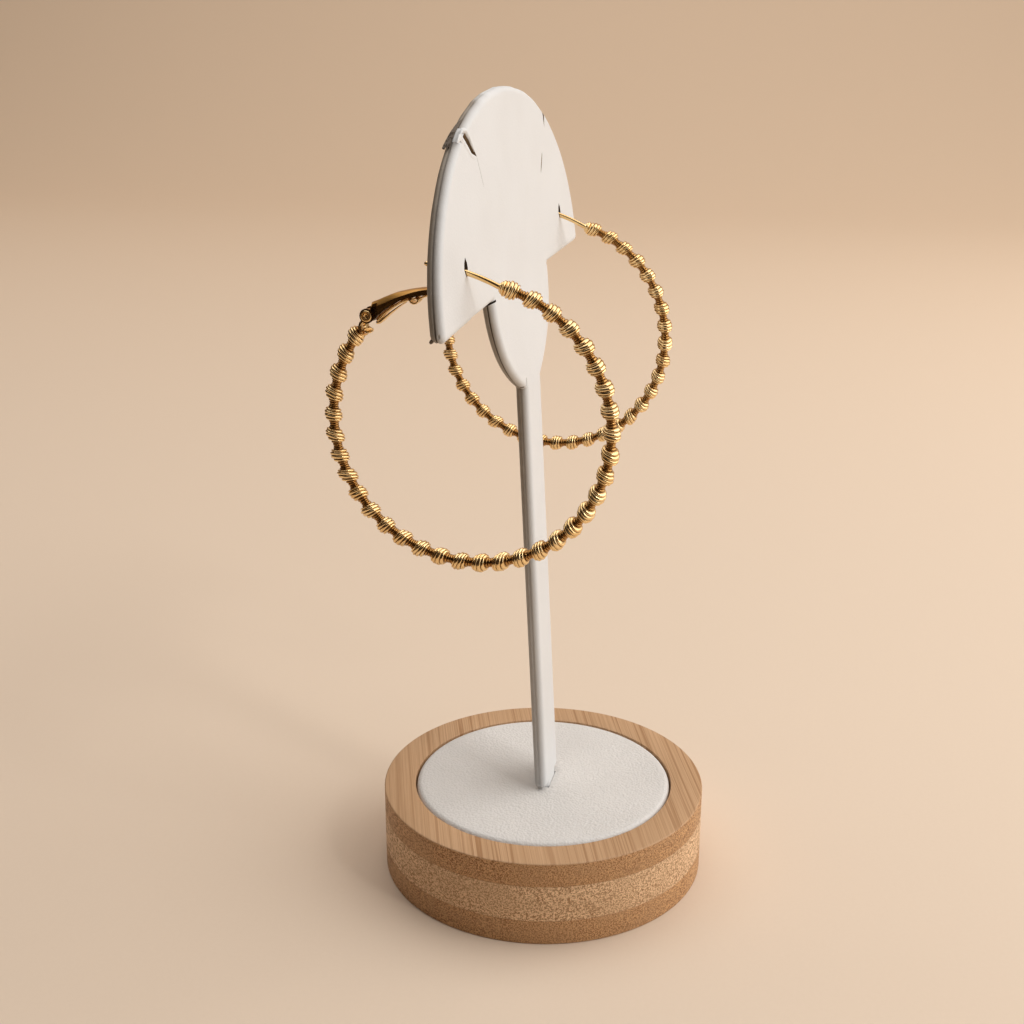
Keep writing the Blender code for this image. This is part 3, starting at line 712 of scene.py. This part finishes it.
def build_loose_wrap():
    """Where the wrap has come away above the left notch, and the folded tip of the wing."""
    def back_strip(along, across, through):
        fray = 0.12 * noise.noise(Vector((across * 11.0, 3.0, 0.0))) if along > 0.85 else 0.0
        x = (-27.0 - 17.0 * (along + fray)) * MM
        wide = 0.45 + 1.05 * along
        y = (0.15 + (wide - 0.15) * across) * MM
        rough = 0.07 * noise.noise(Vector((x * 1500.0, across * 5.0, 7.0)))
        sink = 1.0 * (1 - along) ** 2 + 0.25 * across ** 3 * (1 - along)
        return on_board(x, arch_at(abs(x)) + (rough + 0.25 * along - sink) * MM + through, y)

    def rim_bridge(along, across, through):
        x = (-36.4 - 4.9 * along) * MM
        turn = math.radians(38 + 66 * across)
        reach = (1.4 + 0.12 * math.sin(math.pi * along)) * MM - through
        return on_board(x, arch_at(abs(x)) - EDGE_ROUND + reach * math.sin(turn),
                        -0.15 * MM - reach * math.cos(turn))

    bm = ribbon(34, 6, 0.3 * MM, back_strip)
    # Patches on the frayed end take painted shadow, the shade under the lifted wrap
    for face in bm.faces:
        middle = face.calc_center_median()
        shaded_fray = middle.x < -38.6 * MM and noise.noise(middle * 1100.0) > 0.02
        face.material_index = 1 if shaded_fray else 0
    settle(bm, "loose_wrap", [torn_wrap, painted_shadow], crease=60)
    settle(ribbon(16, 8, 0.35 * MM, rim_bridge), "rim_bridge", board_cover,
           crease=60)

    upper = [(-40.4, 160.6), (-38.9, 161.4), (-36.7, 161.2), (-34.2, 159.6), (-31.2, 156.8)]
    lower = [(-43.2, 159.3), (-40.6, 160.3), (-37.6, 158.4), (-34.0, 156.2), (-30.6, 155.0)]
    settle(ridge(upper, 0.55, 0.4), "upper_lip", board_cover, crease=60)
    settle(ridge(lower, 0.85, 0.24), "lower_lip", board_cover, crease=60)
    bm = bmesh.new()
    bmesh.ops.create_uvsphere(bm, u_segments=14, v_segments=8, radius=0.5)
    for vert in bm.verts:
        x, y, z = vert.co
        swell = 1.0 + 0.3 * noise.noise(vert.co * 4.0)
        vert.co = on_board((-65.2 + x * 0.8 * swell) * MM, (125.2 + z * 1.1) * MM,
                           (1.3 + y * 0.9 * swell - 0.6 * z) * MM)
    settle(bm, "folded_tip", torn_wrap, crease=60)


# The hoops

# Each ring of the wire: start and end along one step, and the radius at its crest
RINGS = [(-2.215, -1.78, 0.97), (-1.78, -1.33, 1.1), (-1.33, -0.76, 1.66), (-0.76, 0.0, 1.885),
         (0.0, 0.78, 1.885), (0.78, 1.38, 1.64), (1.38, 1.82, 1.1), (1.82, 2.215, 0.97)]
GROOVE = 0.23
HALF_STEP = HOOP_RADIUS * BEAD_STEP / 2


def drift(place):
    """The beads nearest the post stand a little closer to it: a turn for a place in the row."""
    return 0.9 * MM / HOOP_RADIUS * max(1 - (place + 0.5) / 9.0, 0.0)


def ring_profile():
    """Radius, place along and groove depth of each point of one bead and half a neck on each side."""
    points = []
    for index, (start, end, crest) in enumerate(RINGS):
        before = min(RINGS[index - 1][2], crest) - GROOVE
        after = min(RINGS[(index + 1) % len(RINGS)][2], crest) - GROOVE
        for share, height in ((0.0, 0.0), (0.13, 0.62), (0.3, 0.93), (0.5, 1.0), (0.7, 0.93), (0.87, 0.62)):
            foot = before if share < 0.5 else after
            points.append(((foot + (crest - foot) * height) * MM, (start + (end - start) * share) * MM))
    points.append((points[0][0], HALF_STEP))
    return points


def bead(tilt, lean_way, grow):
    """One ringed bead about the Z axis, its rings a little aslant, with groove depth and neck kept for the
    painted shade.
    """
    profile = ring_profile()
    bm = lathe(profile, 24)
    groove = bm.verts.layers.float.new("groove")
    neck = bm.verts.layers.float.new("neck")
    crests = {round(along / MM, 4): share for (radius, along), share in
              zip(profile, [1.0, 0.35, 0.06, 0.0, 0.06, 0.35] * len(RINGS) + [1.0])}
    for vert in bm.verts:
        x, y, z = vert.co
        vert[groove] = crests.get(round(z / MM, 4), 0.3)
        vert[neck] = min(max((abs(z) / MM - 1.25) / 0.3, 0.0), 1.0)
        window = math.cos(math.pi / 2 * min(abs(z) / HALF_STEP, 1.0)) ** 0.7
        swing = x * math.cos(lean_way) + y * math.sin(lean_way)
        lump = noise.noise(Vector((x * 620.0, y * 620.0, z * 700.0 + lean_way * 9.0)))
        spread = 1 + (grow + 0.09 * lump) * window
        aside = 0.11 * MM * window ** 2
        vert.co = (x * spread + aside * math.cos(lean_way), y * spread + aside * math.sin(lean_way),
                   z + swing * tilt * window)
    return bm


def on_hoop(angle, out=0.0):
    """A point of the hoop from its post's place in the slit, out from the middle line."""
    reach = HOOP_RADIUS + out
    return Vector((0.0, -HOOP_AHEAD - reach * math.cos(angle), reach * math.sin(angle) - HOOP_DROP))


def hanger(side):
    """Where an earring's own frame lies: its post's place in the slit, turned as it hangs."""
    sign = -1 if side == "left" else 1
    at = (sign * SLIT_AT, lean(SLIT_LEVEL) - THICKNESS / 2, BASE_HEIGHT + SLIT_LEVEL)
    return (Matrix.Translation(at) @ Matrix.Rotation(HOOP_YAW, 4, "Z")
            @ Matrix.Rotation(HOOP_SWING[side], 4, "X"))


def add_mesh(bm, other):
    """Move one bmesh into another."""
    mesh = bpy.data.meshes.new("part")
    other.to_mesh(mesh)
    other.free()
    bm.from_mesh(mesh)
    bpy.data.meshes.remove(mesh)


def loft(rings):
    """Skin a row of loops of points and close both ends."""
    bm = bmesh.new()
    loops = []
    for ring in rings:
        verts = [bm.verts.new(point) for point in ring]
        loops.append([bm.edges.new(pair) for pair in zip(verts, verts[1:] + verts[:1])])
    for first, second in zip(loops, loops[1:]):
        bmesh.ops.bridge_loops(bm, edges=first + second)
    for loop in (loops[0], loops[-1]):
        bmesh.ops.contextual_create(bm, geom=loop)
    bmesh.ops.recalc_face_normals(bm, faces=bm.faces)
    return bm


def tube(points, sides=16):
    """A round rod through (point, radius) stations in the YZ plane, closed at both ends."""
    rings = []
    for index, (point, radius) in enumerate(points):
        before = points[max(index - 1, 0)][0]
        after = points[min(index + 1, len(points) - 1)][0]
        heading = (after - before).normalized()
        across = Vector((1.0, 0.0, 0.0))
        up = heading.cross(across)
        turns = [math.tau * step / sides for step in range(sides)]
        rings.append([point + (across * math.cos(turn) + up * math.sin(turn)) * radius for turn in turns])
    return loft(rings)


def build_hoop(side, rng):
    """Beads from the cone at the post round to the hinge, the post and the knuckle."""
    bm = bmesh.new()
    for index in range(BEADS):
        middle = FIRST_BEAD - index * BEAD_STEP
        tilt = math.tan(math.radians(17.0 + 8.0 * rng(index, 1)))
        part = bead(tilt, 2.4 + 0.7 * rng(index, 2), 0.03 * rng(index, 3))
        for vert in part.verts:
            x, y, z = vert.co
            spot = on_hoop(middle - z / HOOP_RADIUS + drift(index + z / HALF_STEP / 2), y)
            vert.co = (x, spot.y, spot.z)
        add_mesh(bm, part)
    cone = []
    start = FIRST_BEAD + BEAD_STEP / 2 + drift(-0.5)
    for along, radius in ((-1.2, 1.2), (-1.0, 1.55), (-0.8, 1.62), (-0.62, 1.5), (-0.52, 1.22),
                          (-0.4, 1.3), (-0.24, 1.24), (-0.14, 0.95), (-0.02, 1.0), (0.1, 0.85), (0.2, 0.5)):
        cone.append((on_hoop(start + along * MM / HOOP_RADIUS), radius * MM))
    add_mesh(bm, tube(cone, 24))
    matrix = hanger(side)
    settle(bm, side + "_beads", gold_beads,
           replaced=[side + "_beaded_hoop"], turn=matrix, crease=70)
    post = []
    point = on_hoop(FIRST_BEAD + POST_ROOT_RUN / HOOP_RADIUS)
    steps = 30
    for step in range(steps + 1):
        share = step / steps
        taper = 1.0 - 0.75 * max(share - 0.965, 0.0) / 0.035
        post.append((point.copy(), POST_RADIUS * taper ** 0.5))
        slope = math.radians(25.0 - 21.0 * (share + 0.5 / steps))
        point += Vector((0.0, math.cos(slope), math.sin(slope))) * (POST_LENGTH / steps)
    post.insert(0, (post[0][0] - Vector((0.0, math.cos(0.45), math.sin(0.45))) * 0.9 * MM, POST_RADIUS))
    settle(tube(post, 20), side + "_post", gold_polished, turn=matrix, crease=40)
    build_knuckle(side, matrix)


def side_plate(outline, width, edge_round=0.0, segments=3):
    """A flat piece across X from an outline of (ahead, up) points, ahead towards -Y."""
    bm = plate([(-ahead, up) for ahead, up in outline], width, edge_round, segments)
    bmesh.ops.rotate(bm, verts=bm.verts, cent=(0, 0, 0), matrix=Matrix.Rotation(math.pi / 2, 3, "Z"))
    return bm


def build_knuckle(side, matrix):
    """The bent strip that joins the last bead to the hinge, with its crimped leaves."""
    at = Matrix.Translation(PIVOT)
    eye = 1.25 * MM
    outline = arc((0.0, 0.0), eye, -60, 215, 18)
    outline += [(x * MM, z * MM) for x, z in (
        (-1.4, -0.95), (-2.0, -1.6), (-2.28, -2.5), (-2.3, -3.5), (-2.2, -4.5), (-1.1, -4.5),
        (-1.3, -3.7), (-1.5, -2.8), (-1.42, -2.1), (-0.95, -1.6), (-0.3, -1.35))]
    strip = side_plate(outline, KNUCKLE_THICKNESS, 0.22 * MM, 2)
    hole = lathe([(0.0, -2 * MM), (0.6 * MM, -2 * MM), (0.6 * MM, 2 * MM), (0.0, 2 * MM)], 20,
                 (1.0, 0.0, 0.0))
    settle(carve(strip, [hole]), side + "_knuckle", gold_polished,
           turn=matrix @ at, crease=40)
    leaves = bmesh.new()
    for index, (ahead, up, turn, long) in enumerate((
            (-0.3, -3.1, 35, 1.8), (-0.8, -2.3, 75, 1.4), (-1.3, -4.0, 10, 1.6), (-0.2, -3.2, -40, 1.6))):
        leaf = bmesh.new()
        bmesh.ops.create_uvsphere(leaf, u_segments=14, v_segments=8, radius=0.5 * MM)
        bmesh.ops.scale(leaf, vec=(2.3 + 0.3 * index, long, 0.5), verts=leaf.verts)
        for vert in leaf.verts:
            vert.co.z += 90.0 * vert.co.y ** 2
        spin = Matrix.Rotation(math.radians(turn), 4, "X") @ Matrix.Rotation(0.25 * (index - 1.5), 4, "Y")
        bmesh.ops.transform(leaf, matrix=Matrix.Translation((0.0, -ahead * MM, up * MM)) @ spin,
                            verts=leaf.verts)
        add_mesh(leaves, leaf)
    settle(leaves, side + "_crimped_leaves", gold_beads, turn=matrix @ at, crease=70)


# The lever

# Ahead of the pivot: top, depth of the eased shoulder and bottom edge of the lever's side wall
LEVER_WALLS = [(1.0, 2.7, 0.825, -0.72), (2.0, 3.08, 0.975, -0.2), (2.9, 3.52, 1.0875, 0.6),
               (3.9, 3.95, 1.125, 1.4), (4.9, 4.37, 1.05, 2.1), (6.0, 4.77, 0.9375, 2.8),
               (7.2, 5.1, 0.825, 3.42), (8.5, 5.42, 0.675, 3.9), (9.8, 5.68, 0.4875, 4.2),
               (11.2, 5.9, 0.315, 4.48), (12.8, 6.1, 0.24, 4.85), (14.4, 6.25, 0.225, 5.15),
               (15.6, 6.3, 0.225, 5.4), (16.2, 6.28, 0.15, 5.6)]
# The lever has no hollow past this place
SOLID_FROM = 14.0


def build_lever(side):
    """A folded channel with round ears that straddle the knuckle."""
    body = side + "_lever_body"
    matrix = hanger(side) @ Matrix.Translation(PIVOT)
    half, inner = LEVER_HALF, LEVER_INSIDE / 2
    rings = []
    for ahead, top, shoulder, bottom in LEVER_WALLS:
        ring = [(-half, bottom), (-half, top - shoulder), (-half + 0.5 * MM, top - 0.3 * shoulder),
                (-half + 0.9 * MM, top), (half - 0.9 * MM, top), (half - 0.5 * MM, top - 0.3 * shoulder),
                (half, top - shoulder), (half, bottom)]
        level = bottom + 0.02 if ahead > SOLID_FROM else max(bottom + 0.02, top - 0.8)
        ring += [(inner, bottom), (inner, level), (-inner, level), (-inner, bottom)]
        rings.append([Vector((x, -ahead * MM, up * MM)) for x, up in ring])
    bm = loft(rings)
    ears = []
    for sign in (-1, 1):
        outline = arc((0.0, 0.0), 1.5 * MM, -50, -300, 22)
        outline += [(1.42 * MM, 2.5 * MM), (2.2 * MM, 2.7 * MM), (2.2 * MM, -0.2 * MM)]
        ear = side_plate(outline, LEVER_WALL)
        hole = lathe([(0.0, -MM), (0.6 * MM, -MM), (0.6 * MM, MM), (0.0, MM)], 20, (1.0, 0.0, 0.0))
        ear = carve(ear, [hole])
        bmesh.ops.translate(ear, vec=(sign * (half - LEVER_WALL / 2), 0.0, 0.0), verts=ear.verts)
        ears.append(ear)
    bm.normal_update()
    # Painted shade: faces turned up take the lighter lever-top gold, the sides the darker shaded gold
    for face in bm.faces:
        face.material_index = 1 if face.normal.z > 0.3 else 0
    for ear in ears:
        add_mesh(bm, ear)
    settle(bm, side + "_lever_channel", [gold_burnished_shaded, gold_lever_top], body=body,
           replaced=[side + "_lever"], turn=matrix, crease=30)
    build_spring(side, body, matrix)
    build_rivet(side, body, matrix)


def strip(route, half_width, thickness, ribs=0.0):
    """A leaf along a route of (ahead, up) points, its two edges finely ribbed."""
    points = [Vector((0.0, -ahead * MM, up * MM)) for ahead, up in route]
    fine = []
    for first, second in zip(points, points[1:]):
        count = max(int((second - first).length / (0.11 * MM)), 1) if ribs else 2
        fine += [first.lerp(second, step / count) for step in range(count)]
    fine.append(points[-1])
    rings = []
    for index, point in enumerate(fine):
        run = (fine[min(index + 1, len(fine) - 1)] - fine[max(index - 1, 0)]).normalized()
        away = run.cross(Vector((1.0, 0.0, 0.0)))
        share = index / (len(fine) - 1)
        thick = (thickness[0] + (thickness[1] - thickness[0]) * share) / 2
        wide = half_width - (ribs if index % 3 == 0 else 0.0)
        rings.append([point + Vector((x, 0.0, 0.0)) + away * up for x, up in (
            (-wide, -0.6 * thick), (-wide, 0.6 * thick), (-wide + 0.3 * thick, thick),
            (wide - 0.3 * thick, thick), (wide, 0.6 * thick), (wide, -0.6 * thick),
            (wide - 0.3 * thick, -thick), (-wide + 0.3 * thick, -thick))])
    return loft(rings)


def build_spring(side, body, matrix):
    """Two leaves under the lever, with the rolled end that snaps against the plate."""
    upper = strip([(2.1, -0.85), (2.8, -0.2), (3.8, 0.82), (5.2, 1.88), (7.0, 2.98), (8.7, 3.66)],
                  1.5 * MM, (0.56 * MM, 0.5 * MM), 0.1 * MM)
    lower = strip([(1.95, -1.3), (2.7, -1.15), (3.6, -0.35), (5.0, 0.85), (6.6, 2.05), (7.6, 2.75)],
                  1.35 * MM, (0.62 * MM, 0.2 * MM))
    roll = strip([(8.5, 3.72), (9.0, 3.45), (9.25, 3.05), (9.75, 2.82), (10.35, 2.95), (10.72, 3.35),
                  (10.6, 3.78), (10.1, 3.95), (9.75, 3.65)], 1.3 * MM, (0.34 * MM, 0.26 * MM))
    tail = strip([(10.7, 3.6), (11.6, 4.2), (13.0, 4.75), (14.0, 5.05)], 1.3 * MM, (0.4 * MM, 0.4 * MM),
                 0.08 * MM)
    bm = bmesh.new()
    for part in (upper, lower, roll, tail):
        add_mesh(bm, part)
    settle(bm, side + "_spring_leaf", gold_leaf, body=body,
           replaced=[side + "_lever_spring"], turn=matrix, crease=40)


def build_rivet(side, body, matrix):
    """A shaft with a ringed and dimpled head outside each ear."""
    inner = LEVER_HALF / MM + 0.02
    head = [(0.0, 0.06), (0.2, 0.06), (0.3, 0.26), (0.46, 0.36), (0.58, 0.2), (0.74, 0.2), (0.86, 0.4),
            (1.02, 0.42), (1.12, 0.34), (1.16, 0.2), (1.16, 0.0), (0.45, 0.0)]
    near = [(radius * MM, -(inner + out) * MM) for radius, out in head]
    far = [(radius * MM, (inner + out) * MM) for radius, out in reversed(head)]
    settle(lathe(near + far, 32, (1.0, 0.0, 0.0)), side + "_rivet", gold_leaf, body=body,
           replaced=[side + "_hinge_rivet"], turn=matrix, crease=50)


def steady(seed):
    """Even numbers between -1 and 1 that are the same on every run."""
    def pick(index, kind):
        return max(-1.0, min(1.0, noise.noise(Vector((index * 3.7 + seed, kind * 5.3, 0.5))) * 1.8))
    return pick


# The stage, light and camera

CAMERA_AT = (-0.31893, -0.06582, 0.20204)
CAMERA_BACKWARD = (-0.92322, -0.21394, 0.3192)
FOCAL_PIXELS = 1445.02
PHOTO_PIXELS = 1024.0


def stage_piece(bm, name, finish):
    """Write a bmesh to an object in the scene that has the given finish."""
    mesh = bpy.data.meshes.new(name)
    bm.to_mesh(mesh)
    bm.free()
    mesh.materials.append(finish.material)
    made = bpy.data.objects.new(name, mesh)
    bpy.context.scene.collection.objects.link(made)
    return made


def build_stage():
    """A pale sweep that runs level under the stand and up behind it."""
    made = Finish("pale_sweep")
    grain = made.noise(made.place(), 900.0, 3.0)
    near = made.mix(grain, (0.785, 0.645, 0.51), (0.765, 0.625, 0.49))
    # Painted light falloff: the sweep's colour grows darker and warmer towards the back
    tone = made.mix(made.axes(made.place())[0].ramp(-0.1, 1.5), near, (0.775, 0.595, 0.43))
    made.set(Base_Color=tone, Roughness=0.75)
    bm = bmesh.new()
    bend = [(1.3 + across, 1.0 + up) for across, up in arc((0.0, 0.0), 1.0, -90, 0, 24)]
    line = [(-6.0, 0.0)] + bend + [(2.3, 5.0)]
    corners = [bm.verts.new((x, -7.0, z)) for x, z in line]
    edges = [bm.edges.new(pair) for pair in zip(corners, corners[1:])]
    sheet = bmesh.ops.extrude_edge_only(bm, edges=edges)["geom"]
    bmesh.ops.translate(bm, verts=[v for v in sheet if isinstance(v, bmesh.types.BMVert)], vec=(0, 14.0, 0))
    bmesh.ops.recalc_face_normals(bm, faces=bm.faces)
    floor = stage_piece(bm, "floor", made)
    floor.data.shade_smooth()


def build_dark_card(name, at, turn, size, shades):
    """A dark card for the gold to mirror, which the camera doesn't see."""
    card = Finish(name)
    card.set(Base_Color=(0.022, 0.011, 0.004, 1.0), Roughness=0.9)
    bm = bmesh.new()
    bmesh.ops.create_grid(bm, x_segments=1, y_segments=1, size=0.5)
    scale = Matrix.Diagonal((*size, 1.0, 1.0))
    bmesh.ops.transform(bm, matrix=Matrix.Translation(at) @ turn @ scale, verts=bm.verts)
    made = stage_piece(bm, name, card)
    made.visible_camera = False
    made.visible_shadow = shades
    made.visible_diffuse = shades


def softbox(name, at, aim, size, power, colour):
    """A square light that faces a point."""
    lamp = bpy.data.lights.new(name, "AREA")
    lamp.shape = "RECTANGLE"
    lamp.size, lamp.size_y = size
    lamp.energy = power
    lamp.color = colour
    made = bpy.data.objects.new(name, lamp)
    bpy.context.scene.collection.objects.link(made)
    made.location = at
    made.rotation_euler = (Vector(at) - Vector(aim)).to_track_quat("Z", "Y").to_euler()


def build_light():
    """Light from the right and above, a spark for the gold, and a dim room."""
    softbox("key", (0.16, -1.0, 0.62), (0.0, 0.0, 0.08), (1.8, 1.1), 12.3, (1.0, 0.98, 0.955))
    softbox("spark", (-0.45, -0.75, 0.85), (0.0, 0.0, 0.1), (0.1, 0.2), 1.1, (1.0, 0.98, 0.95))
    softbox("overhead", (0.7, 0.05, 2.0), (0.7, 0.05, 0.0), (2.4, 3.0), 34.5, (1.0, 0.965, 0.935))
    world = bpy.data.worlds.new("room")
    world.use_nodes = True
    room = world.node_tree.nodes["Background"]
    room.inputs["Color"].default_value = (0.80, 0.70, 0.60, 1.0)
    room.inputs["Strength"].default_value = 0.185
    bpy.context.scene.world = world


def build_camera():
    """The photograph's place: 0.38 m off, a little above the board, looking down 18.6 degrees."""
    lens = bpy.data.cameras.new("camera")
    lens.sensor_width = 36.0
    lens.lens = lens.sensor_width * FOCAL_PIXELS / PHOTO_PIXELS
    lens.clip_start, lens.clip_end = 0.01, 20.0
    made = bpy.data.objects.new("camera", lens)
    bpy.context.scene.collection.objects.link(made)
    made.location = CAMERA_AT
    made.rotation_euler = Vector(CAMERA_BACKWARD).to_track_quat("Z", "Y").to_euler()
    bpy.context.scene.camera = made


build_camera()
build_base()
build_pad()
build_board()
build_loose_wrap()
for wearer_side, seed in (("left", 1.0), ("right", 40.0)):
    build_hoop(wearer_side, steady(seed))
    build_lever(wearer_side)
build_stage()
build_dark_card("front_card", (-0.43, 0.05, 0.38), Matrix.Rotation(math.pi / 2, 4, "Y"), (0.75, 1.3), True)
build_dark_card("left_card", (0.05, 0.55, 0.3), Matrix.Rotation(math.pi / 2, 4, "X"), (1.0, 0.55), False)
build_light()
bpy.context.scene.view_settings.view_transform = "Standard"
